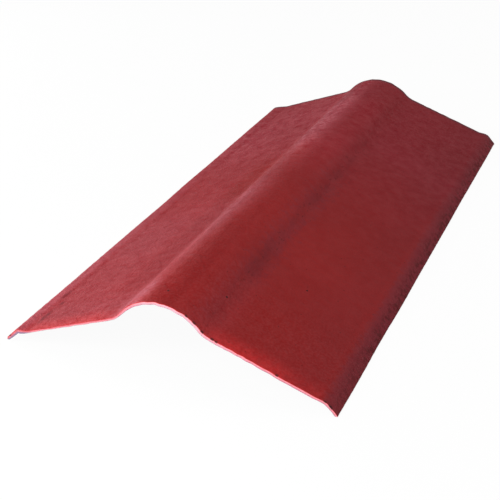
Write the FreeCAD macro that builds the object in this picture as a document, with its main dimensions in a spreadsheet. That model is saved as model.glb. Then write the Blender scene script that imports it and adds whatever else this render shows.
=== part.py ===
import FreeCAD, Part
import math
import os
from collections import namedtuple
from enum import IntEnum

import Sketcher
from FreeCAD import Vector

# Roof ridge cap: one pressed sheet with a round hump along the ridge, a hollow valley beside it,
# a flat wing on each side and a lip turned down along each wing's outer edge.
# X runs across the ridge, Y along it and Z up. The origin is midway between the lips and between
# the two ends, at the height of the surface that the lips stand on.

NODE = "ridge_cap"

# Driving dimensions: name, value in millimetres or degrees, what it measures
SIZES = (
    ("length", 1000, "along the ridge"),
    ("width", 485, "over both lips"),
    ("thickness", 3, "of the sheet"),
    ("hump_radius", 75, "of the hump's upper face"),
    ("hump_angle", 49, "slope of the sheet where the hump meets the valley"),
    ("valley_radius", 40, "of the valley's upper face"),
    ("wing_slope", 20, "slope of the flat wing"),
    ("roll_radius", 25, "of the upper face where the wing flattens beside the lip"),
    ("edge_slope", 9, "slope of the narrow strip beside the lip"),
    ("edge_width", 4, "of that strip, along its slope"),
    ("lip_radius", 12, "of the upper face where the sheet bends into the lip"),
    ("lip_slope", 45, "slope of the lip"),
    ("lip_length", 19, "straight part of the lip, along its slope"),
)

# One stretch of the section, walked from the lip up to the ridge
Run = namedtuple("Run", "name slope length")
Bend = namedtuple("Bend", "name slope_in slope_out radius")

# A curve of the sketch, and the numbers of its ends towards the lip and towards the ridge
Curve = namedtuple("Curve", "index lipward ridgeward")

# The arc round the lip's tip, and the numbers of its ends on the upper and the lower face
Tip = namedtuple("Tip", "index upper lower")


class Place(IntEnum):
    """The numbers by which a sketch knows its own axes and the points of a curve."""

    LEVEL_AXIS = -1
    UPRIGHT_AXIS = -2
    START = 1
    END = 2
    CENTRE = 3


# A sketch's origin is the start of its level axis
ORIGIN = (Place.LEVEL_AXIS, Place.START)


def make_sheet(doc):
    """The driving dimensions, one row each: a note, the number and its name."""
    sheet = doc.addObject("Spreadsheet::Sheet", "sizes")
    for row, (name, value, note) in enumerate(SIZES, start=1):
        sheet.set("A%d" % row, name + " " + note)
        sheet.set("B%d" % row, str(value))
        sheet.setAlias("B%d" % row, name)
    doc.recompute()
    return sheet


def along(slope):
    """Unit vector up the sheet, towards the ridge."""
    return Vector(math.cos(slope), math.sin(slope), 0)


def square(slope):
    """Unit vector out of the sheet's upper face."""
    return Vector(-math.sin(slope), math.cos(slope), 0)


def side(bend):
    """1 for a bend that flattens the climb, with its centre below the sheet, or -1 for the reverse."""
    return 1 if bend.slope_out < bend.slope_in else -1


def across(stretch):
    """Distance that a stretch covers towards the ridge."""
    if isinstance(stretch, Run):
        return stretch.length * math.cos(stretch.slope)
    return side(stretch) * stretch.radius * (math.sin(stretch.slope_in) - math.sin(stretch.slope_out))


def stretches(sheet):
    """The middle line of the left half, from the tip of the lip to the ridge."""
    half = sheet.thickness / 2
    hump = math.radians(sheet.hump_angle)
    wing = math.radians(sheet.wing_slope)
    edge = math.radians(sheet.edge_slope)
    lip = math.radians(sheet.lip_slope)
    outer = [
        Run("lip", lip, sheet.lip_length),
        Bend("lip_bend", lip, edge, sheet.lip_radius - half),
        Run("edge", edge, sheet.edge_width),
        Bend("roll", edge, wing, sheet.roll_radius + half),
    ]
    inner = [
        Bend("valley", wing, hump, sheet.valley_radius + half),
        Bend("hump", hump, 0, sheet.hump_radius - half),
    ]
    reach = sheet.width / 2 - half - sum(across(stretch) for stretch in outer + inner)
    return outer + [Run("wing", wing, reach / math.cos(wing))] + inner


def add_run(sketch, point, run, offset):
    """A straight line beside the middle line, and the end of the middle line."""
    end = point + along(run.slope) * run.length
    shift = square(run.slope) * offset
    index = sketch.addGeometry(Part.LineSegment(point + shift, end + shift))
    return Curve(index, Place.START, Place.END), end


def add_bend(sketch, point, bend, offset):
    """An arc beside the middle line, and the end of the middle line."""
    turn = side(bend)
    centre = point - square(bend.slope_in) * (turn * bend.radius)
    end = centre + square(bend.slope_out) * (turn * bend.radius)
    circle = Part.Circle(centre, Vector(0, 0, 1), bend.radius + turn * offset)
    first = turn * math.pi / 2 + bend.slope_in
    last = turn * math.pi / 2 + bend.slope_out
    if turn > 0:
        index = sketch.addGeometry(Part.ArcOfCircle(circle, last, first))
        return Curve(index, Place.END, Place.START), end
    index = sketch.addGeometry(Part.ArcOfCircle(circle, first, last))
    return Curve(index, Place.START, Place.END), end


def add_face(sketch, sheet, offset):
    """The curves of one face of the sheet, by name, in order from the lip to the ridge."""
    curves = {}
    point = Vector(-(sheet.width - sheet.thickness) / 2, sheet.thickness / 2, 0)
    for stretch in stretches(sheet):
        add = add_run if isinstance(stretch, Run) else add_bend
        curves[stretch.name], point = add(sketch, point, stretch, offset)
    return curves


def add_tip(sketch, sheet):
    """The round tip of the lip, from the upper face to the lower one."""
    half = sheet.thickness / 2
    centre = Vector(-sheet.width / 2 + half, half, 0)
    upper = math.radians(90 + sheet.lip_slope)
    circle = Part.Circle(centre, Vector(0, 0, 1), half)
    index = sketch.addGeometry(Part.ArcOfCircle(circle, upper, upper + math.pi))
    return Tip(index, Place.START, Place.END)


def join(sketch, kind, first, first_end, second, second_end):
    """Two curves that meet at their ends, smoothly where the kind is Tangent."""
    sketch.addConstraint(Sketcher.Constraint(kind, first.index, first_end, second.index, second_end))


def join_face(sketch, curves):
    """Each curve of a face runs smoothly into the next."""
    chain = list(curves.values())
    for lower, upper in zip(chain, chain[1:]):
        join(sketch, "Tangent", lower, lower.ridgeward, upper, upper.lipward)


def bind_length(sketch, kind, places, expression):
    """A length or radius of the sketch that follows the sheet."""
    value = sketch.evalExpression(expression)
    row = sketch.addConstraint(Sketcher.Constraint(kind, *places, value))
    sketch.setExpression("Constraints[%d]" % row, expression)


def bind_angle(sketch, curve, name):
    """The slope of a line, or the angle that an arc spans, that follows the sheet."""
    value = math.radians(sketch.evalExpression("sizes." + name))
    row = sketch.addConstraint(Sketcher.Constraint("Angle", curve.index, value))
    sketch.setExpression("Constraints[%d]" % row, "sizes.%s * 1 deg" % name)


def bind_upper(sketch, upper):
    """The sizes of the upper face."""
    for bend, name in (("hump", "hump"), ("valley", "valley"), ("roll", "roll"), ("lip_bend", "lip")):
        bind_length(sketch, "Radius", (upper[bend].index,), "sizes.%s_radius" % name)
    bind_length(sketch, "Distance", (upper["edge"].index,), "sizes.edge_width")
    bind_length(sketch, "Distance", (upper["lip"].index,), "sizes.lip_length")
    bind_angle(sketch, upper["hump"], "hump_angle")
    bind_angle(sketch, upper["wing"], "wing_slope")
    bind_angle(sketch, upper["edge"], "edge_slope")
    bind_angle(sketch, upper["lip"], "lip_slope")


def bind_lower(sketch, upper, lower):
    """The lower face lies one thickness from the upper face: its bends share their centres."""
    for bend in ("hump", "valley", "roll", "lip_bend"):
        places = (lower[bend].index, Place.CENTRE, upper[bend].index, Place.CENTRE)
        sketch.addConstraint(Sketcher.Constraint("Coincident", *places))
    # The lower hump's radius follows from its smooth join to the lower valley
    bind_length(sketch, "Radius", (lower["valley"].index,), "sizes.valley_radius + sizes.thickness")
    bind_length(sketch, "Radius", (lower["roll"].index,), "sizes.roll_radius + sizes.thickness")
    bind_length(sketch, "Radius", (lower["lip_bend"].index,), "sizes.lip_radius - sizes.thickness")


def bind_tip(sketch, tip):
    """The lip's tip is half a thickness round and touches the standing surface at the full width."""
    centre = (tip.index, Place.CENTRE)
    bind_length(sketch, "Radius", (tip.index,), "sizes.thickness / 2")
    bind_length(sketch, "DistanceX", centre + ORIGIN, "(sizes.width - sizes.thickness) / 2")
    bind_length(sketch, "DistanceY", ORIGIN + centre, "sizes.thickness / 2")


def close_at_ridge(sketch, upper, lower):
    """An upright line through the sheet at the ridge closes the half section."""
    top = upper["hump"]
    under = lower["hump"]
    ends = [sketch.getPoint(curve.index, curve.ridgeward) for curve in (under, top)]
    cut = Curve(sketch.addGeometry(Part.LineSegment(*ends)), Place.START, Place.END)
    join(sketch, "Coincident", cut, cut.lipward, under, under.ridgeward)
    join(sketch, "Coincident", cut, cut.ridgeward, top, top.ridgeward)
    for curve, point in ((top, top.ridgeward), (top, Place.CENTRE), (under, under.ridgeward)):
        on_axis = (curve.index, point, Place.UPRIGHT_AXIS)
        sketch.addConstraint(Sketcher.Constraint("PointOnObject", *on_axis))


def origin_plane(body, role):
    """One of the body's own reference planes."""
    return next(plane for plane in body.Origin.OriginFeatures if plane.Role == role)


def draw_half_section(body, sheet):
    """The section of the left half, upright across the ridge."""
    sketch = body.newObject("Sketcher::SketchObject", "half_section")
    sketch.AttachmentSupport = [(origin_plane(body, "XZ_Plane"), "")]
    sketch.MapMode = "FlatFace"
    upper = add_face(sketch, sheet, sheet.thickness / 2)
    lower = add_face(sketch, sheet, -sheet.thickness / 2)
    tip = add_tip(sketch, sheet)
    join_face(sketch, upper)
    join_face(sketch, lower)
    join(sketch, "Tangent", upper["lip"], upper["lip"].lipward, tip, tip.upper)
    join(sketch, "Tangent", lower["lip"], lower["lip"].lipward, tip, tip.lower)
    close_at_ridge(sketch, upper, lower)
    bind_upper(sketch, upper)
    bind_lower(sketch, upper, lower)
    bind_tip(sketch, tip)
    return sketch


def make_cap(doc, sheet):
    """The half section drawn out along the ridge, and mirrored to the other side of it."""
    body = doc.addObject("PartDesign::Body", NODE)
    sketch = draw_half_section(body, sheet)
    doc.recompute()

    half = body.newObject("PartDesign::Pad", "left_half")
    half.Profile = sketch
    half.SideType = "Symmetric"
    half.setExpression("Length", "sizes.length * 1 mm")
    doc.recompute()

    whole = body.newObject("PartDesign::Mirrored", "both_halves")
    whole.Originals = [half]
    whole.MirrorPlane = (origin_plane(body, "YZ_Plane"), [""])
    whole.Refine = True
    body.Tip = whole
    doc.recompute()
    return body


def check(doc, body):
    """Stops if anything in the document failed, or the cap isn't one sound solid."""
    for item in doc.Objects:
        if "Invalid" in item.State or "Error" in item.State:
            raise RuntimeError("%s failed: %s" % (item.Name, item.State))
    if body.Shape.isNull() or not body.Shape.isValid() or len(body.Shape.Solids) != 1:
        raise RuntimeError("%s isn't one sound solid" % body.Label)


doc = FreeCAD.newDocument("roof_ridge_cap")
cap = make_cap(doc, make_sheet(doc))
check(doc, cap)
os.makedirs("parts", exist_ok=True)
cap.Shape.exportStep("parts/%s.step" % cap.Label)
box = cap.Shape.BoundBox
print("%.2f x %.2f x %.2f mm" % (box.XLength, box.YLength, box.ZLength))
print("%.0f cubic mm" % cap.Shape.Volume)
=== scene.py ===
import math
from collections import namedtuple

import bpy
import numpy as np
from mathutils import Matrix, Vector


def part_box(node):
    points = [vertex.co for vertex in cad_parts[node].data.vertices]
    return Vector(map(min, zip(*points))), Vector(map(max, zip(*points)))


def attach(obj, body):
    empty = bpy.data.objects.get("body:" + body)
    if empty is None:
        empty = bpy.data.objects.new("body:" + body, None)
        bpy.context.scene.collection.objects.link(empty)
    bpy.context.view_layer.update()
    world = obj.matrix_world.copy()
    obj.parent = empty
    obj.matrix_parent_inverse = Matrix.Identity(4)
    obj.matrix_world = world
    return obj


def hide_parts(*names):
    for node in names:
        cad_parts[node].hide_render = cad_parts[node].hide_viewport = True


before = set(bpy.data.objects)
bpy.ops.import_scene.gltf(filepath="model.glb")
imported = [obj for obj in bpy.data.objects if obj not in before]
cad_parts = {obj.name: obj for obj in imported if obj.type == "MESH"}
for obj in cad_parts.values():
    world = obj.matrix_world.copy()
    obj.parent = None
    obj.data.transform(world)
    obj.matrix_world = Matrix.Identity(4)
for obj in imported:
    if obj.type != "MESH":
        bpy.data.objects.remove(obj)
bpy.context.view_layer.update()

MM = 0.001
NODE = "ridge_cap"
LAYOUT = "flat"

# The pressed section, as the CAD part has it
LOW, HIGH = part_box(NODE)
LENGTH = HIGH.y - LOW.y
THICKNESS = 3 * MM
HUMP_RADIUS = 75 * MM
HUMP_ANGLE = math.radians(49)
VALLEY_RADIUS = 40 * MM
WING_SLOPE = math.radians(20)
ROLL_RADIUS = 25 * MM

# The lips are a little uneven, as pressed sheet is: millimetres and degrees at the two cuts, and at a share
# of the length from the near one
Lip = namedtuple("Lip", "wing edge_slope edge_width radius slope length")
LIPS = {
    "near left": Lip(wing=134, edge_slope=-4, edge_width=4, radius=8, slope=45, length=19),
    "near right": Lip(wing=143.5, edge_slope=12.5, edge_width=2, radius=33, slope=50, length=11),
    "middle left": Lip(wing=130, edge_slope=12, edge_width=19, radius=12, slope=49, length=19),
    "middle right": Lip(wing=145, edge_slope=11.5, edge_width=3, radius=27, slope=48.5, length=13),
    "far left": Lip(wing=131, edge_slope=11.5, edge_width=23, radius=12.5, slope=52, length=18),
    "far right": Lip(wing=143, edge_slope=8, edge_width=8, radius=14, slope=47, length=17),
}
MIDDLE_SHARE = 0.25

# How finely the sheet is divided: steps on each stretch of half the section, and rows along the ridge
HUMP_STEPS = 22
VALLEY_STEPS = 8
WING_STEPS = 40
ROLL_STEPS = 4
EDGE_STEPS = 4
BEND_STEPS = 6
LIP_STEPS = 6
TIP_STEPS = 8
ROW_SPACING = 4.2 * MM
END_ROWS = (1.5 * MM, 3 * MM, 5 * MM, 8 * MM)

# The cut ends: the arris is rounded, the cut wanders, and the blade has left a burr below. At the near cut it
# is thicker on the right and torn out under the left lip (place across and height more than the burr's own,
# in millimetres)
ARRIS_RADIUS = 0.4 * MM
ARRIS_STEPS = 3
RAGGED_DEPTH = 0.35 * MM
RAGGED_SIZE = 14 * MM
RAGGED_REACH = 9 * MM
BURR_HEIGHT = 0.9 * MM
NEAR_BURR = ((-260, 0.8), (-252, 1.8), (-240, 2.6), (-232, 3.4), (-221, 0), (-200, -0.4), (-70, -0.8),
             (-30, 0.3), (50, 1.2), (210, 1.2), (250, 0.3))

# At the near end the ridge and the right wing stand up a little (place across and height in millimetres), and
# at the far end the hump has settled a little to the left and down. Both fade along the ridge, as a power of
# the distance
NEAR_RISE = ((-60, 0), (-25, 1.2), (25, 0.6), (60, 1.2), (140, 1.2), (190, 0.3), (230, 0))
NEAR_RISE_POWER = 8
SETTLED = Vector((-2 * MM, 0, -2 * MM))
SETTLED_WIDTH = 60 * MM
SETTLED_POWER = 3

# Slight unevenness of the faces: long waves and small dimples
WAVE_HEIGHT = 0.25 * MM
WAVE_SIZE = 220 * MM
DIMPLE_HEIGHT = 0.09 * MM
DIMPLE_SIZE = 13 * MM

# Colours of the coat, the cut fibre and the bare underside
RED = (0.260, 0.0158, 0.0158)
CLEAN_RED = (0.262, 0.0122, 0.0122)
# Dust, and painted sheen where the coat is seen at a low angle
DUST_AND_SHEEN_RED = (0.244, 0.0215, 0.0310)
# Pale dust, and painted sheen on the left flank, shoulder and lip crest
POWDER_AND_SHEEN_RED = (0.315, 0.060, 0.076)
STAINED_RED = (0.226, 0.0195, 0.0240)
MAUVE_RED = (0.222, 0.0232, 0.0300)
# Bitumen through the coat, and painted shade, on the right lip
LIP_RED = (0.188, 0.0170, 0.0250)
# A brighter, redder strip along the near cut
NEAR_STRIP_RED = (0.470, 0.0225, 0.0235)
DARK_RED = (0.108, 0.0080, 0.0100)
BITUMEN = (0.022, 0.009, 0.009)
# A dark band along the far cut
DARK_FAR_EDGE = (0.150, 0.034, 0.044)
SALMON = (0.80, 0.27, 0.31)
PALE_FIBRE = (0.88, 0.40, 0.46)
SMEARED_FIBRE = (0.50, 0.115, 0.135)
COAT_EDGE = (0.52, 0.035, 0.040)
# The burr below the cut: its own darker mauve, and painted shade along the cut's lower edge
CUT_BURR = (0.56, 0.185, 0.245)
PALE_BURR = (0.64, 0.36, 0.43)
TORN_FIBRE = (0.24, 0.15, 0.24)
BARE_DARK = (0.035, 0.024, 0.030)
BARE_PALE = (0.075, 0.050, 0.060)
SHEEN_TINT = (0.92, 0.86, 1.0, 1)
DUST_VEIL = (1.0, 0.55, 0.57)

# The coat's unevenness by size, from its fibres up, and how deep its relief is
FIBRE_SIZE = 3.6 * MM
PATCH_SIZE = 8 * MM
LUMP_SIZE = 17 * MM
CLOUD_SIZE = 150 * MM
RELIEF_DEPTH = 1.7 * MM

# Marks on the coat in millimetres: chips along the near cut (place across, half width), specks (across,
# along), dirt and painted shade in the hollow of the left lip and dirt in the right valley (across, along,
# half width, half length)
CHIPS = ((40, 3), (53, 4), (68, 4), (84, 4), (90, 3), (176, 3), (243, 3), (252, 5), (-253, 3))
SPECKS = ((143, -301), (62, -412), (-2, -466))
SPECK_RADIUS = 2.0 * MM
PINHOLE_RADIUS = 1.1 * MM
PINHOLE_SPACING = 55 * MM
# Dirt, and painted shade, in the hollow of the left lip
HOLLOW_DIRT_AND_SHADE = ((-215.5, -459, 5, 22), (-223, -393, 5, 15), (-212, -421, 4, 8))
VALLEY_DIRT = ((63, -295, 15, 60), (66, -320, 9, 20), (63, -152, 7, 20), (66, -62, 8, 27), (65, -8, 5, 14),
               (67, 48, 8, 24), (68, 113, 7, 26), (66, 205, 5, 22))

# The floor, the share of its look that is plain white to the camera (the rest shows the shadow), and the
# light of the dome
FLOOR_REACH = 60.0
FLOOR_COLOUR = (0.9, 0.9, 0.9, 1)
FLOOR_GLOW = 0.95
WHITE = (1, 1, 1, 1)
DOME_STRENGTH = 0.32

# The camera: its lens and sensor in millimetres, its angles in degrees and its place in metres
LENS = 76.97
SENSOR_WIDTH = 36
CAMERA_TURN = 22.393
CAMERA_DIP = 26.428
CAMERA_ROLL = -0.385
CAMERA_PLACE = (0.55225, -1.53611, 0.76394)

# Faces of the mesh by material
COATED, BARE, CUT = range(3)


class HalfSection:
    """Half of the sheet's middle line, walked from the ridge out to one lip. Slopes are downwards."""

    def __init__(self, lip):
        half = THICKNESS / 2
        self.points = [(0.0, HIGH.z - half)]
        self.slopes = [0.0]
        self.bend(HUMP_ANGLE, HUMP_RADIUS - half, HUMP_STEPS)
        self.bend(WING_SLOPE, VALLEY_RADIUS + half, VALLEY_STEPS)
        self.run(lip.wing * MM, WING_STEPS)
        self.bend(math.radians(lip.edge_slope), ROLL_RADIUS + half, ROLL_STEPS)
        self.run(lip.edge_width * MM, EDGE_STEPS)
        self.bend(math.radians(lip.slope), lip.radius * MM, BEND_STEPS)
        self.run(lip.length * MM, LIP_STEPS)

    def run(self, length, steps):
        """A straight stretch at the slope reached so far."""
        x, z = self.points[-1]
        slope = self.slopes[-1]
        for gone in np.linspace(0, length, steps + 1)[1:]:
            self.points.append((x + gone * math.cos(slope), z - gone * math.sin(slope)))
            self.slopes.append(slope)

    def bend(self, slope_out, radius, steps):
        """A round stretch from the slope reached so far to another."""
        x, z = self.points[-1]
        slope_in = self.slopes[-1]
        side = 1 if slope_out > slope_in else -1
        for slope in np.linspace(slope_in, slope_out, steps + 1)[1:]:
            out = side * radius * (math.sin(slope) - math.sin(slope_in))
            up = side * radius * (math.cos(slope) - math.cos(slope_in))
            self.points.append((x + out, z + up))
            self.slopes.append(slope)


class Section:
    """The outline of the section at one end: upper face from the left, right tip, lower face, left tip."""

    def __init__(self, end):
        left = HalfSection(LIPS[end + " left"])
        right = HalfSection(LIPS[end + " right"])
        line = np.array([(-x, z) for x, z in left.points[:0:-1]] + right.points)
        slopes = np.array([-slope for slope in left.slopes[:0:-1]] + right.slopes)
        steps = np.hypot(*np.diff(line, axis=0).T)
        across = np.concatenate([[0], np.cumsum(steps)])
        self.stations = len(line)
        ridge = len(left.points) - 1
        owners = np.concatenate([np.arange(self.stations), self.tip_owner(-1), np.arange(self.stations)[::-1],
                                 self.tip_owner(0)])
        normals = np.stack([np.sin(slopes), np.cos(slopes)], axis=1)
        self.across = (across - across[ridge])[owners]
        right_tip = self.tip(normals[-1], 1)
        left_tip = self.tip(normals[0], -1)[::-1]
        self.outward = np.vstack([normals, right_tip, -normals[::-1], left_tip])
        self.points = line[owners] + self.outward * THICKNESS / 2
        upward = (self.outward * normals[owners]).sum(axis=1)
        self.depth = THICKNESS / 2 * (1 - upward)

    def tip_owner(self, station):
        """The station that each point round a lip's tip belongs to."""
        return np.full(TIP_STEPS - 1, station % self.stations)

    @staticmethod
    def tip(normal, side):
        """Directions round a lip's tip, from the upper face to the lower one."""
        out = np.array([normal[1], -normal[0]]) * side
        turns = np.linspace(0, math.pi, TIP_STEPS + 1)[1:-1, None]
        return normal * np.cos(turns) + out * np.sin(turns)


def waves(across, along, size, stretch, seed, count=40):
    """Smooth seeded unevenness over the flat sheet, about 1 in height: waves of this size, longer across."""
    rng = np.random.default_rng(seed)
    total = 0
    for turn, share, phase in rng.uniform((0, 0.7, 0), (2 * math.pi, 1.6, 2 * math.pi), (count, 3)):
        pace = 2 * math.pi / (size * share)
        total = total + np.sin(pace * (across * math.cos(turn) / stretch + along * math.sin(turn)) + phase)
    return total / math.sqrt(count / 2)


def row_places():
    """Distance of each row from the near cut, and how far the arris draws its points in."""
    turns = np.linspace(0, math.pi / 2, ARRIS_STEPS + 1)
    places = np.concatenate([ARRIS_RADIUS * (1 - np.cos(turns)), END_ROWS])
    drawn = np.concatenate([ARRIS_RADIUS * (1 - np.sin(turns)), np.zeros(len(END_ROWS))])
    first = END_ROWS[-1]
    inner = np.linspace(first, LENGTH - first, int((LENGTH - 2 * first) / ROW_SPACING))[1:-1]
    return (np.concatenate([places, inner, LENGTH - places[::-1]]),
            np.concatenate([drawn, np.zeros(len(inner)), drawn[::-1]]))


def burr_heights(s, near):
    """Height of the burr below the cuts; near is 1 in the near half."""
    places, heights = MM * np.array(NEAR_BURR).T
    return BURR_HEIGHT + near * np.interp(s, places, heights, right=0)


def sheet_points():
    """Every point of the sheet, row by row, with its slight unevenness, and its place on the flat sheet."""
    sections = [Section(end) for end in ("near", "middle", "far")]
    places, drawn = row_places()
    share = (places / LENGTH)[:, None]
    weights = [np.interp(share, (0, MIDDLE_SHARE, 1), row) for row in np.eye(3)]

    def blended(values):
        return sum(weight * value for weight, value in zip(weights, values))

    s = blended([section.across for section in sections])
    y = np.broadcast_to((LOW.y + places)[:, None], s.shape)
    out_x = blended([section.outward[:, 0] for section in sections])
    out_z = blended([section.outward[:, 1] for section in sections])
    end = np.clip(1 - np.minimum(places, LENGTH - places) / RAGGED_REACH, 0, 1)[:, None]
    lift = WAVE_HEIGHT * waves(s, y, WAVE_SIZE, 1.0, seed=11, count=14)
    lift += DIMPLE_HEIGHT * waves(s, y, DIMPLE_SIZE, 1.5, seed=12)
    near = (places < LENGTH / 2)[:, None]
    underneath = out_z < -0.5
    lift += burr_heights(s, near) * end * underneath - drawn[:, None]
    hump = np.exp(-((s / SETTLED_WIDTH) ** 4)) * share ** SETTLED_POWER
    rise = np.interp(s, *(MM * np.array(NEAR_RISE).T)) * (1 - share) ** NEAR_RISE_POWER
    x = blended([section.points[:, 0] for section in sections]) + out_x * lift + SETTLED.x * hump
    z = blended([section.points[:, 1] for section in sections]) + out_z * lift + SETTLED.z * hump + rise
    ragged = RAGGED_DEPTH * end * waves(s, 0 * y, RAGGED_SIZE, 1.0, seed=13)
    ragged *= np.where(near, 1, -1)
    points = np.stack([x, y + ragged, np.maximum(z, LOW.z)], axis=-1)
    return points, np.stack([s, y], axis=-1), sections[0]


def sheet_faces(rows, count, stations):
    """Quads round the outline and along the ridge, then the two cut ends, each with its material."""
    faces, kinds = [], []
    tip_half = (TIP_STEPS - 1) // 2
    for column in range(count):
        following = (column + 1) % count
        under = stations + tip_half <= column < 2 * stations + TIP_STEPS - 1 + tip_half
        for row in range(rows - 1):
            base = row * count
            above = base + count
            faces.append((base + column, base + following, above + following, above + column))
            kinds.append(BARE if under else COATED)
    for row, turn in ((0, 1), (rows - 1, -1)):
        base = row * count
        back = base + 2 * stations + TIP_STEPS - 2
        for column in range(stations - 1):
            quad = (base + column, back - column, back - column - 1, base + column + 1)
            faces.append(quad[::turn])
            kinds.append(CUT)
        right = range(base + stations - 1, base + stations + TIP_STEPS)
        left = [base] + list(range(base + count - 1, base + 2 * stations + TIP_STEPS - 3, -1))
        faces.append(tuple(right)[::-turn])
        faces.append(tuple(left)[::turn])
        kinds += [CUT, CUT]
    return faces, kinds


def make_sheet():
    """The whole cap as one closed mesh. Its texture coordinates are metres on the flat sheet, across and
    along; on the cut ends they are across and down from the coat."""
    points, flat, section = sheet_points()
    rows, count = points.shape[:2]
    faces, kinds = sheet_faces(rows, count, section.stations)
    mesh = bpy.data.meshes.new("ridge_cap_sheet")
    mesh.from_pydata(points.reshape(-1, 3).tolist(), [], faces)
    mesh.polygons.foreach_set("material_index", kinds)
    mesh.polygons.foreach_set("use_smooth", [kind != CUT for kind in kinds])
    layout = mesh.uv_layers.new(name=LAYOUT)
    corners = np.zeros(len(mesh.loops), dtype=np.int32)
    mesh.loops.foreach_get("vertex_index", corners)
    layout_places = flat.reshape(-1, 2)[corners]
    on_cut = np.repeat(np.array(kinds) == CUT, [len(face) for face in faces])
    layout_places[on_cut, 1] = section.depth[corners[on_cut] % count]
    layout.data.foreach_set("uv", layout_places.astype(np.float32).ravel())
    mesh.update()
    piece = bpy.data.objects.new("ridge_cap_sheet", mesh)
    bpy.context.scene.collection.objects.link(piece)
    return piece


class Nodes:
    """Short ways to lay out one material's nodes. An input is a plain value or another node's output."""

    def __init__(self, name):
        self.material = bpy.data.materials.new(name)
        self.material.use_nodes = True
        self.tree = self.material.node_tree
        self.tree.nodes.clear()

    def add(self, kind, inputs=None, **settings):
        node = self.tree.nodes.new(kind)
        for name, value in settings.items():
            setattr(node, name, value)
        for name, value in (inputs or {}).items():
            if isinstance(value, bpy.types.NodeSocket):
                self.tree.links.new(value, node.inputs[name])
            else:
                node.inputs[name].default_value = value
        return node

    def math(self, operation, first, second):
        return self.add("ShaderNodeMath", {0: first, 1: second}, operation=operation).outputs[0]

    def product(self, first, *others):
        for other in others:
            first = self.math("MULTIPLY", first, other)
        return first

    def most(self, first, *others):
        for other in others:
            first = self.math("MAXIMUM", first, other)
        return first

    def ramp(self, value, start, stop, bottom=0.0, top=1.0):
        """A smooth change from bottom at start to top at stop; start may be the larger."""
        inputs = {"Value": value, "From Min": start, "From Max": stop, "To Min": bottom, "To Max": top}
        return self.add("ShaderNodeMapRange", inputs, interpolation_type="SMOOTHSTEP").outputs["Result"]

    def band(self, value, start, full, fading, stop):
        """1 between full and fading, 0 outside start and stop."""
        return self.product(self.ramp(value, start, full), self.ramp(value, stop, fading))

    def shade(self, area, factor):
        """1 outside an area, this factor inside it."""
        return self.ramp(area, 0, 1, 1.0, factor)

    def ragged(self, value, noise, reach, lowest=0.3):
        """A distance moved to and fro by a noise, so that what ends there has a ragged edge."""
        return self.math("ADD", value, self.ramp(noise, lowest, 1 - lowest, -reach, reach))

    def balanced(self, noise):
        """A noise with more contrast, about 0."""
        return self.math("SUBTRACT", self.ramp(noise, 0.3, 0.7), 0.5)

    def stretched(self, place, across, along):
        """The same place on a sheet pulled out by these factors: what is laid on it comes out longer."""
        scale = (1 / across, 1 / along, 1)
        return self.add("ShaderNodeVectorMath", {0: place, 1: scale}, operation="MULTIPLY").outputs[0]

    def noise(self, place, size, seed, detail=2.0):
        inputs = {"Vector": place, "W": seed, "Scale": 1 / size, "Detail": detail}
        return self.add("ShaderNodeTexNoise", inputs, noise_dimensions="4D").outputs["Fac"]

    def mix(self, share, first, second):
        colours = [(*colour, 1) if isinstance(colour, tuple) else colour for colour in (first, second)]
        inputs = {0: share, 6: colours[0], 7: colours[1]}
        return self.add("ShaderNodeMix", inputs, data_type="RGBA").outputs[2]

    def scaled(self, colour, factor):
        """A colour made lighter or darker."""
        inputs = {0: colour, "Scale": factor}
        return self.add("ShaderNodeVectorMath", inputs, operation="SCALE").outputs[0]

    def veiled(self, colour, amount):
        """A colour under a little more pale dust, or a little less."""
        inputs = {0: colour, 1: self.scaled(DUST_VEIL, amount)}
        return self.add("ShaderNodeVectorMath", inputs, operation="ADD").outputs[0]

    def flat_place(self):
        """The place on the flat sheet in metres: a vector, across from the ridge, along from the middle."""
        place = self.add("ShaderNodeUVMap", uv_map=LAYOUT).outputs["UV"]
        parts = self.add("ShaderNodeSeparateXYZ", {"Vector": place})
        return place, parts.outputs["X"], parts.outputs["Y"]

    def bump(self, height, depth):
        inputs = {"Height": height, "Strength": 1.0, "Distance": depth}
        return self.add("ShaderNodeBump", inputs).outputs["Normal"]

    def surface(self, **inputs):
        """A principled surface; its constant inputs are set straight on the shader."""
        named = {name.replace("_", " "): value for name, value in inputs.items()}
        shader = self.add("ShaderNodeBsdfPrincipled", named)
        self.add("ShaderNodeOutputMaterial", {"Surface": shader.outputs[0]})
        return self.material


def near_bright_strip(nodes, across, along, patches):
    """A brighter, redder strip along the near cut, strongest on the right wing."""
    left = nodes.product(nodes.ramp(across, -15 * MM, -45 * MM, 0.0, 0.9),
                         nodes.ramp(across, -85 * MM, -115 * MM, 0.7, 1.0),
                         nodes.ramp(across, -205 * MM, -225 * MM, 1.0, 0.5))
    right = nodes.product(nodes.ramp(across, 35 * MM, 112 * MM),
                          nodes.ramp(across, 160 * MM, 205 * MM, 1.0, 0.5),
                          nodes.ramp(across, 228 * MM, 246 * MM, 1.0, 0.05))
    rise = nodes.ramp(along, -460 * MM, -504 * MM)
    return nodes.product(nodes.most(left, right), rise, nodes.ramp(patches, 0.3, 0.7, 0.65, 1.25))


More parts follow.
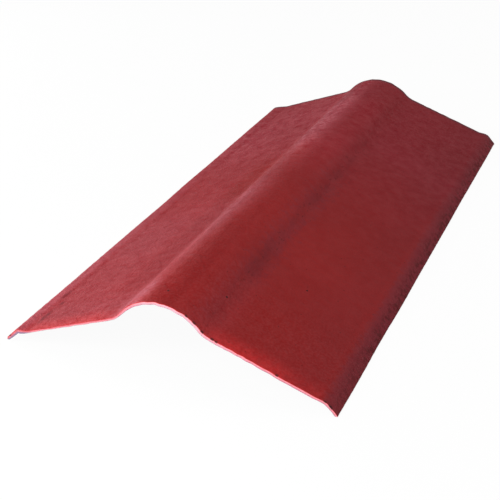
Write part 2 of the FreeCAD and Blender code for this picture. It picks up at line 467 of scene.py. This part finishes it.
def painted_sheen(nodes, across, along, patches):
    """Painted sheen, partly dust, on the hump's left shoulder and thinly on the left wing towards the far
    end.
    """
    ragged = nodes.ragged(across, patches, 9 * MM)
    thinning = nodes.ramp(along, 250 * MM, -50 * MM, -22 * MM, -46 * MM)
    gone = nodes.ramp(along, -120 * MM, -280 * MM, 14 * MM, -5 * MM)
    worn_off = nodes.band(along, 200 * MM, 60 * MM, -10 * MM, -130 * MM)
    shoulder = nodes.product(nodes.ramp(ragged, -60 * MM, -42 * MM), nodes.ramp(ragged, gone, thinning),
                             nodes.ramp(along, 490 * MM, 330 * MM), nodes.ramp(worn_off, 0, 1, 0.72, 0.42),
                             nodes.ramp(along, -180 * MM, -400 * MM, 1.0, 0.35))
    wing = nodes.product(nodes.ramp(across, -20 * MM, -90 * MM), nodes.ramp(along, 0, 200 * MM, 0.0, 0.13))
    return nodes.most(shoulder, wing)


def powder_and_sheen(nodes, across, along, patches):
    """Pale dust and painted sheen on the left side, thickest in a strip towards the near cut and on the lip's
    crest, and a little dust in the right valley at the near end."""
    flank = nodes.band(across, -90 * MM, -60 * MM, -40 * MM, -16 * MM)
    side = nodes.ramp(across, -15 * MM, -50 * MM)
    strip = nodes.product(nodes.ramp(along, -395 * MM, -450 * MM, 0.0, 0.29),
                          nodes.math("ADD", side, nodes.product(flank, 2.2)))
    outer = nodes.ramp(across, -100 * MM, -150 * MM)
    thin = nodes.product(nodes.ramp(along, -50 * MM, -170 * MM, 0.0, 0.28),
                         nodes.ramp(along, -230 * MM, -330 * MM, 1.0, 0.68),
                         nodes.most(outer, nodes.product(flank, 0.8), nodes.product(side, 0.4)))
    valley = nodes.product(nodes.band(across, 26 * MM, 52 * MM, 82 * MM, 104 * MM),
                           nodes.ramp(along, -280 * MM, -390 * MM, 0.0, 0.085))
    # Dust, with painted sheen on the flank and the shoulder
    dust_and_sheen = nodes.most(strip, thin, valley, painted_sheen(nodes, across, along, patches))
    # Painted sheen, with dust, on the crest of the left lip
    lip = nodes.product(nodes.ramp(across, -217 * MM, -233 * MM),
                        nodes.ramp(along, 300 * MM, -450 * MM, 0.25, 0.85))
    return nodes.most(nodes.product(dust_and_sheen, nodes.ramp(patches, 0.25, 0.75, 0.25, 1.55)),
                      nodes.product(lip, nodes.ramp(patches, 0.2, 0.8, 0.7, 1.05)))


def valley_reach(nodes, along):
    """How strongly the right valley is stained along the sheet: fading towards both ends."""
    return nodes.product(nodes.ramp(along, 350 * MM, -50 * MM, 0.25, 1.0),
                         nodes.ramp(along, -280 * MM, -420 * MM, 1.0, 0.4))


def valley_stain(nodes, place, across, along, patches):
    """Grey-purple blotches where dirt settles in the right valley."""
    ragged = nodes.ragged(across, patches, 13 * MM)
    blotches = nodes.noise(nodes.stretched(place, 1, 1.8), 24 * MM, seed=15.0)
    return nodes.product(nodes.band(ragged, 34 * MM, 60 * MM, 68 * MM, 94 * MM), valley_reach(nodes, along),
                         nodes.ramp(blotches, 0.36, 0.62, 0.45, 1.15))


def valley_pits(nodes, place, across, along):
    """Dark pits along the bottom of the right valley."""
    pits = nodes.noise(nodes.stretched(place, 1, 2), 5 * MM, seed=5.0, detail=2.0)
    line = nodes.band(across, 50 * MM, 62 * MM, 68 * MM, 80 * MM)
    return nodes.product(line, valley_reach(nodes, along), nodes.ramp(pits, 0.55, 0.68, 0.0, 0.6))


def lip_dust(nodes, across, patches):
    """A mauve band on the crest of the right lip, and a breath of it on the wing beside it."""
    ragged = nodes.ragged(across, patches, 5 * MM, lowest=0.2)
    crest = nodes.ramp(ragged, 234 * MM, 246 * MM, 0.0, 0.9)
    return nodes.most(crest, nodes.ramp(across, 140 * MM, 215 * MM, 0.0, 0.14))


def lip_stain_and_shade(nodes, across, along, patches):
    """Bitumen showing through the coat along the right lip, and painted shade there, less at both ends."""
    ragged = nodes.ragged(across, patches, 6 * MM, lowest=0.2)
    return nodes.product(nodes.ramp(ragged, 241 * MM, 262 * MM),
                         nodes.ramp(along, 450 * MM, 150 * MM, 0.6, 1.0),
                         nodes.ramp(along, -330 * MM, -430 * MM, 1.0, 0.45))


def lip_specks(nodes, place, across, along):
    """Dark pits in the stained strip of the right lip, fainter at the near end."""
    pits = nodes.noise(nodes.stretched(place, 1, 1.2), 6.5 * MM, seed=9.0, detail=2.0)
    return nodes.product(nodes.ramp(across, 244 * MM, 260 * MM), nodes.ramp(pits, 0.44, 0.62),
                         nodes.ramp(along, -330 * MM, -440 * MM, 1.0, 0.5))


def smudges(nodes, place, patches, marks):
    """Dark smudges, broken up along their edges."""
    spots = []
    for across, along, half_width, half_length in marks:
        spot = (across * MM, along * MM, 0)
        offset = nodes.add("ShaderNodeVectorMath", {0: place, 1: spot}, operation="SUBTRACT")
        shrunk = nodes.stretched(offset.outputs[0], half_width * MM, half_length * MM)
        away = nodes.add("ShaderNodeVectorMath", {0: shrunk}, operation="LENGTH").outputs["Value"]
        spots.append(nodes.ramp(away, 1.3, 0.2))
    return nodes.product(nodes.most(*spots), nodes.ramp(patches, 0.35, 0.6, 0.3, 0.75))


def chipped(nodes, across):
    """Where along the near cut the blade has broken the coat."""
    spots = []
    for middle, half in CHIPS:
        away = nodes.math("ABSOLUTE", nodes.math("SUBTRACT", across, middle * MM), 0.0)
        spots.append(nodes.ramp(away, half * MM, 0.3 * half * MM))
    return nodes.most(*spots)


def chips(nodes, across, along, fibres):
    """Black nicks in the coat at the near cut."""
    ragged = nodes.ragged(along, fibres, 1 * MM)
    return nodes.product(chipped(nodes, across), nodes.ramp(ragged, -496.5 * MM, -499 * MM, 0.0, 0.85))


def specks(nodes, place):
    """A few black specks of bitumen in the coat."""
    spots = []
    for across, along in SPECKS:
        spot = (across * MM, along * MM, 0)
        away = nodes.add("ShaderNodeVectorMath", {0: place, 1: spot}, operation="DISTANCE").outputs["Value"]
        spots.append(nodes.ramp(away, SPECK_RADIUS, 0.5 * SPECK_RADIUS))
    return nodes.most(*spots)


def pinholes(nodes, place):
    """Scattered pinholes through which the bitumen shows."""
    inputs = {"Vector": place, "Scale": 1 / PINHOLE_SPACING}
    away = nodes.add("ShaderNodeTexVoronoi", inputs, voronoi_dimensions="2D").outputs["Distance"]
    size = PINHOLE_RADIUS / PINHOLE_SPACING
    return nodes.ramp(away, size, 0.4 * size, 0.0, 0.7)


def near_crest(nodes, across, along):
    """The ridge towards the near end, painted darker there (painted shade) and a purer red."""
    return nodes.product(nodes.band(across, -30 * MM, -8 * MM, 10 * MM, 24 * MM),
                         nodes.ramp(along, 50 * MM, -480 * MM))


def left_cloud(nodes, across, along):
    """A patch of the left side, halfway along, where the coat is a purer and darker red."""
    return nodes.product(nodes.band(across, -130 * MM, -95 * MM, -20 * MM, 5 * MM),
                         nodes.band(along, 130 * MM, 60 * MM, -30 * MM, -120 * MM))


def right_tone_light_and_shade(nodes, across, along):
    """Painted light and shade on the ridge and the right side, with some weathering of the coat."""
    # Painted shade darkens the crest near the near end and the wing towards the lip. Painted light lifts the
    # crest halfway to the far end, and the right flank and near valley, which face away from the lamps.
    far_crest = nodes.product(nodes.band(across, -50 * MM, -25 * MM, 25 * MM, 60 * MM),
                              nodes.band(along, 440 * MM, 320 * MM, 150 * MM, -80 * MM))
    flank = nodes.band(across, 10 * MM, 26 * MM, 46 * MM, 58 * MM)
    near_valley = nodes.product(nodes.band(across, 46 * MM, 58 * MM, 82 * MM, 100 * MM),
                                nodes.ramp(along, -330 * MM, -390 * MM))
    return nodes.product(nodes.shade(near_crest(nodes, across, along), 0.895), nodes.shade(far_crest, 1.12),
                         nodes.shade(flank, 1.05), nodes.shade(near_valley, 1.05),
                         nodes.ramp(across, 100 * MM, 235 * MM, 1.04, 0.915))


def left_tone_light_and_shade(nodes, across, along):
    """Painted light and shade on the left side, with some weathering of the coat."""
    # Painted shade darkens the left valley and its near corner, the inner shoulder and the far end of the
    # flank. Painted light lifts the near end of the flank, a streak on the shoulder and the lip's flattened
    # strip, which faces away from the lamp on the left. A patch halfway along is darker.
    valley = nodes.product(nodes.band(across, -128 * MM, -105 * MM, -70 * MM, -50 * MM),
                           nodes.band(along, 100 * MM, -40 * MM, -380 * MM, -450 * MM))
    corner = nodes.product(nodes.band(across, -116 * MM, -98 * MM, -76 * MM, -62 * MM),
                           nodes.ramp(along, -430 * MM, -475 * MM))
    flank = nodes.band(across, -78 * MM, -58 * MM, -34 * MM, -20 * MM)
    near_flank = nodes.product(flank, nodes.ramp(along, -230 * MM, -450 * MM, -1.0, 1.0))
    far_flank = nodes.product(flank, nodes.ramp(along, 280 * MM, 440 * MM))
    streak = nodes.product(nodes.band(across, -58 * MM, -48 * MM, -42 * MM, -30 * MM),
                           nodes.band(along, 0, -120 * MM, -320 * MM, -420 * MM))
    inner = nodes.product(nodes.band(across, -46 * MM, -32 * MM, -6 * MM, 12 * MM),
                          nodes.band(along, -170 * MM, -260 * MM, -340 * MM, -430 * MM))
    lip = nodes.ramp(along, 300 * MM, -450 * MM, 1.05, 1.12)
    return nodes.product(nodes.shade(valley, 0.91), nodes.ramp(near_flank, -1, 1, 0.94, 1.07),
                         nodes.shade(far_flank, 0.88), nodes.shade(left_cloud(nodes, across, along), 0.91),
                         nodes.shade(streak, 1.06), nodes.shade(inner, 0.93), nodes.shade(corner, 0.92),
                         nodes.ramp(across, -214 * MM, -226 * MM, 1.0, lip))


def grain_dust(nodes, across, along, grain):
    """Dust held more or less by the grain of the coat, most on the left side and towards the far end."""
    left = nodes.product(nodes.ramp(across, 10 * MM, -20 * MM),
                         nodes.ramp(along, 0, 350 * MM, 0.040, 0.080))
    shoulder = nodes.product(nodes.band(across, -75 * MM, -55 * MM, -15 * MM, 5 * MM),
                             nodes.ramp(along, -60 * MM, 120 * MM, 0.0, 0.085))
    depth = nodes.most(nodes.ramp(along, -200 * MM, 350 * MM, 0.012, 0.036), left, shoulder)
    return nodes.product(nodes.balanced(grain), depth)


def fine_dust(nodes, across, along, fibres):
    """Finer specks of dust between the fibres, on the ridge and towards both ends."""
    ridge = nodes.product(nodes.band(across, -40 * MM, -10 * MM, 25 * MM, 55 * MM), 0.010)
    ends = nodes.most(nodes.ramp(along, -260 * MM, -420 * MM, 0.0, 0.019),
                      nodes.ramp(along, 150 * MM, 400 * MM, 0.0, 0.026))
    return nodes.product(nodes.balanced(fibres), nodes.most(ridge, ends))


def mottle(nodes, place, across, along, grain, clouds):
    """Small changes of lightness and darker dimples, strongest on the left side and towards the far end."""
    left = nodes.product(nodes.ramp(across, 10 * MM, -20 * MM),
                         nodes.ramp(along, -350 * MM, 200 * MM, 0.03, 0.04))
    depth = nodes.most(nodes.ramp(along, -200 * MM, 350 * MM, 0.01, 0.03), left)
    darkest = nodes.math("SUBTRACT", 1.0, depth)
    lightest = nodes.math("ADD", 1.0, depth)
    dimples = nodes.noise(place, 7 * MM, seed=14.0)
    return nodes.product(nodes.ramp(grain, 0.3, 0.7, darkest, lightest),
                         nodes.ramp(dimples, 0.52, 0.68, 1.0, darkest),
                         nodes.ramp(clouds, 0.25, 0.75, 0.94, 1.07))


def weathered_and_sheened_red(nodes, across, along, clouds):
    """The coat's red, with dust and painted sheen towards the far end and on the left, purer in two places.
    """
    # Dust and painted sheen towards the far end and on the left side, where the coat is seen at a low angle
    far_dust_and_sheen = nodes.product(nodes.ramp(along, -180 * MM, 300 * MM), nodes.ramp(clouds, 0.2, 0.8, 0.5, 0.9))
    left_dust_and_sheen = nodes.ramp(across, -10 * MM, -60 * MM, 0.0, 0.4)
    dust_and_sheen = nodes.mix(nodes.most(far_dust_and_sheen, left_dust_and_sheen), RED, DUST_AND_SHEEN_RED)
    clean = nodes.most(left_cloud(nodes, across, along), near_crest(nodes, across, along))
    return nodes.mix(clean, dust_and_sheen, CLEAN_RED)


def stained(nodes, colour, place, across, along, patches):
    """A colour changed by stains, painted shade on the right lip, the near strip, dust and painted sheen."""
    colour = nodes.mix(valley_stain(nodes, place, across, along, patches), colour, STAINED_RED)
    colour = nodes.mix(lip_dust(nodes, across, patches), colour, MAUVE_RED)
    # Bitumen and painted shade on the right lip
    colour = nodes.mix(lip_stain_and_shade(nodes, across, along, patches), colour, LIP_RED)
    # The brighter, redder strip along the near cut
    colour = nodes.mix(near_bright_strip(nodes, across, along, patches), colour, NEAR_STRIP_RED)
    # Pale dust, and painted sheen on the left side
    return nodes.mix(powder_and_sheen(nodes, across, along, patches), colour, POWDER_AND_SHEEN_RED)


def marked(nodes, colour, place, across, along, fibres, patches):
    """A colour with dark dirt, pits, painted shade in the left lip's hollow, a dark far edge and black marks.
    """
    pits = nodes.most(lip_specks(nodes, place, across, along), valley_pits(nodes, place, across, along))
    dirt = nodes.product(smudges(nodes, place, patches, VALLEY_DIRT), 0.3)
    # Dirt and painted shade in the left lip's hollow, dirt in the right valley, and pits
    dark = nodes.most(smudges(nodes, place, patches, HOLLOW_DIRT_AND_SHADE), dirt, pits)
    colour = nodes.mix(dark, colour, DARK_RED)
    # A dark band along the far cut
    colour = nodes.mix(nodes.ramp(along, 488 * MM, 497 * MM), colour, DARK_FAR_EDGE)
    black = nodes.most(chips(nodes, across, along, fibres), specks(nodes, place), pinholes(nodes, place))
    return nodes.mix(black, colour, BITUMEN)


def make_coating():
    """The red coat on the upper face: matte, with a dusty sheen at low angles, stained and worn in places."""
    nodes = Nodes("red coating")
    place, across, along = nodes.flat_place()
    fibres = nodes.noise(place, FIBRE_SIZE, seed=1.0, detail=3.0)
    patches = nodes.noise(place, PATCH_SIZE, seed=2.0, detail=3.0)
    lumps = nodes.noise(place, LUMP_SIZE, seed=4.0)
    clouds = nodes.noise(place, CLOUD_SIZE, seed=3.0, detail=4.0)
    grain = nodes.product(nodes.math("ADD", patches, lumps), 1 / 2)
    colour = weathered_and_sheened_red(nodes, across, along, clouds)
    colour = stained(nodes, colour, place, across, along, patches)
    colour = nodes.veiled(colour, grain_dust(nodes, across, along, grain))
    colour = nodes.veiled(colour, fine_dust(nodes, across, along, fibres))
    # Painted light and shade on both sides, and random mottle, set how light the coat is
    lightness = nodes.product(left_tone_light_and_shade(nodes, across, along), right_tone_light_and_shade(nodes, across, along),
                              mottle(nodes, place, across, along, grain, clouds))
    colour = nodes.scaled(colour, lightness)
    colour = marked(nodes, colour, place, across, along, fibres, patches)
    relief = nodes.math("ADD", nodes.math("ADD", fibres, patches), lumps)
    worn_smooth = nodes.ramp(across, -25 * MM, 30 * MM, 0.7, 0.3)
    relief = nodes.product(relief, worn_smooth)
    return nodes.surface(Base_Color=colour, Roughness=nodes.ramp(patches, 0.2, 0.8, 0.62, 0.82),
                         Specular_IOR_Level=0.10, Sheen_Weight=0.03, Sheen_Roughness=0.4,
                         Sheen_Tint=SHEEN_TINT, Normal=nodes.bump(relief, RELIEF_DEPTH))


def make_bare():
    """The uncoated underside: dark bitumen fibre."""
    nodes = Nodes("bare underside")
    place, _, _ = nodes.flat_place()
    fibres = nodes.noise(nodes.stretched(place, 3, 1), 3 * MM, seed=6.0, detail=4.0)
    patches = nodes.noise(place, 30 * MM, seed=7.0, detail=3.0)
    colour = nodes.mix(nodes.ramp(patches, 0.3, 0.7), BARE_DARK, BARE_PALE)
    colour = nodes.scaled(colour, nodes.ramp(fibres, 0.25, 0.75, 0.75, 1.25))
    return nodes.surface(Base_Color=colour, Roughness=nodes.ramp(fibres, 0.3, 0.7, 0.6, 0.85),
                         Specular_IOR_Level=0.2, Normal=nodes.bump(fibres, 0.25 * MM))


def make_cut():
    """The cut ends: pink fibre between the coat's edge and a burr, palest over the hump, smeared at left."""
    nodes = Nodes("cut fibre")
    place, across, depth = nodes.flat_place()
    fibres = nodes.noise(nodes.stretched(place, 3, 1), 1.5 * MM, seed=8.0, detail=3.0)
    clumps = nodes.noise(nodes.stretched(place, 1, 4), 16 * MM, seed=10.0)
    pale = nodes.product(nodes.band(across, -45 * MM, -5 * MM, 50 * MM, 140 * MM),
                         nodes.ramp(clumps, 0.3, 0.7, 0.5, 1.0))
    smeared = nodes.product(nodes.ramp(across, -30 * MM, -80 * MM), nodes.ramp(clumps, 0.3, 0.7, 1.0, 0.6))
    colour = nodes.mix(pale, SALMON, PALE_FIBRE)
    colour = nodes.mix(smeared, colour, SMEARED_FIBRE)
    colour = nodes.scaled(colour, nodes.ramp(fibres, 0.3, 0.7, 0.85, 1.12))
    colour = nodes.mix(nodes.ramp(depth, 0.7 * MM, 0.2 * MM), colour, COAT_EDGE)
    # The burr: darker mauve fibre, and painted shade along the cut's lower edge
    burr = nodes.mix(pale, CUT_BURR, PALE_BURR)
    burr = nodes.mix(smeared, burr, SALMON)
    burr = nodes.mix(nodes.ramp(across, -210 * MM, -226 * MM), burr, TORN_FIBRE)
    colour = nodes.mix(nodes.ramp(depth, 1.5 * MM, 2.1 * MM), colour, burr)
    nicks = nodes.product(chipped(nodes, across), nodes.ramp(depth, 1.2 * MM, 0.5 * MM, 0.0, 0.8))
    colour = nodes.mix(nicks, colour, BITUMEN)
    return nodes.surface(Base_Color=colour, Roughness=0.85, Specular_IOR_Level=0.1,
                         Normal=nodes.bump(fibres, 0.2 * MM))


def add_area(name, target, azimuth, elevation, distance, strength):
    """A soft square lamp facing a point: azimuth 0 is in front, 270 on the left. Strength 1 is full white."""
    turn, rise = math.radians(azimuth), math.radians(elevation)
    towards = Vector((math.sin(turn) * math.cos(rise), -math.cos(turn) * math.cos(rise), math.sin(rise)))
    lamp = bpy.data.lights.new(name, "AREA")
    lamp.size = 0.5 * distance
    lamp.energy = strength * (math.pi * distance) ** 2
    holder = bpy.data.objects.new(name, lamp)
    holder.location = Vector(target) + towards * distance
    holder.rotation_euler = towards.to_track_quat("Z", "Y").to_euler()
    holder.visible_camera = False
    bpy.context.scene.collection.objects.link(holder)


def make_camera():
    """The photograph's view: a camera to the right of the near end, looking down along the cap."""
    data = bpy.data.cameras.new("camera")
    data.sensor_width = SENSOR_WIDTH
    data.lens = LENS
    holder = bpy.data.objects.new("camera", data)
    turn = Matrix.Rotation(math.radians(CAMERA_TURN), 4, "Z")
    tilt = Matrix.Rotation(math.radians(90 - CAMERA_DIP), 4, "X")
    roll = Matrix.Rotation(math.radians(CAMERA_ROLL), 4, "Z")
    holder.matrix_world = Matrix.Translation(CAMERA_PLACE) @ turn @ tilt @ roll
    bpy.context.scene.collection.objects.link(holder)
    bpy.context.scene.camera = holder


def make_floor():
    """A plain pale floor that looks white, with a faint shadow."""
    mesh = bpy.data.meshes.new("floor")
    corners = [(x * FLOOR_REACH, y * FLOOR_REACH, 0) for x, y in ((-1, -1), (1, -1), (1, 1), (-1, 1))]
    mesh.from_pydata(corners, [], [(0, 1, 2, 3)])
    floor = bpy.data.objects.new("floor", mesh)
    bpy.context.scene.collection.objects.link(floor)
    nodes = Nodes("floor")
    path = nodes.add("ShaderNodeLightPath")
    looks = [path.outputs[ray] for ray in ("Is Camera Ray", "Is Glossy Ray", "Is Transmission Ray")]
    seen = nodes.product(nodes.most(*looks), FLOOR_GLOW)
    pale = nodes.add("ShaderNodeBsdfDiffuse", {"Color": FLOOR_COLOUR})
    white = nodes.add("ShaderNodeEmission", {"Color": WHITE, "Strength": 1.0})
    mixed = nodes.add("ShaderNodeMixShader", {0: seen, 1: pale.outputs[0], 2: white.outputs[0]})
    nodes.add("ShaderNodeOutputMaterial", {"Surface": mixed.outputs[0]})
    mesh.materials.append(nodes.material)


def make_light():
    """Plain soft studio light: a dome, lamps low on the left, right and front, behind and at the near end."""
    world = bpy.data.worlds.new("studio")
    world.use_nodes = True
    dome = world.node_tree.nodes["Background"]
    dome.inputs["Color"].default_value = WHITE
    dome.inputs["Strength"].default_value = DOME_STRENGTH
    bpy.context.scene.world = world
    middle, near_end = (0, 0, 0.05), (0, -0.45, 0.05)
    add_area("left", middle, azimuth=270, elevation=15, distance=2.4, strength=0.82)
    add_area("right", middle, azimuth=90, elevation=15, distance=2.4, strength=0.16)
    add_area("back right", middle, azimuth=135, elevation=45, distance=2.4, strength=0.15)
    add_area("front left", near_end, azimuth=330, elevation=40, distance=1.3, strength=0.72)
    add_area("front", middle, azimuth=0, elevation=15, distance=2.4, strength=0.3)


cap = make_sheet()
for material in (make_coating(), make_bare(), make_cut()):
    cap.data.materials.append(material)
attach(cap, "root")
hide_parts(NODE)
make_floor()
make_light()
make_camera()
bpy.context.scene.view_settings.view_transform = "Standard"
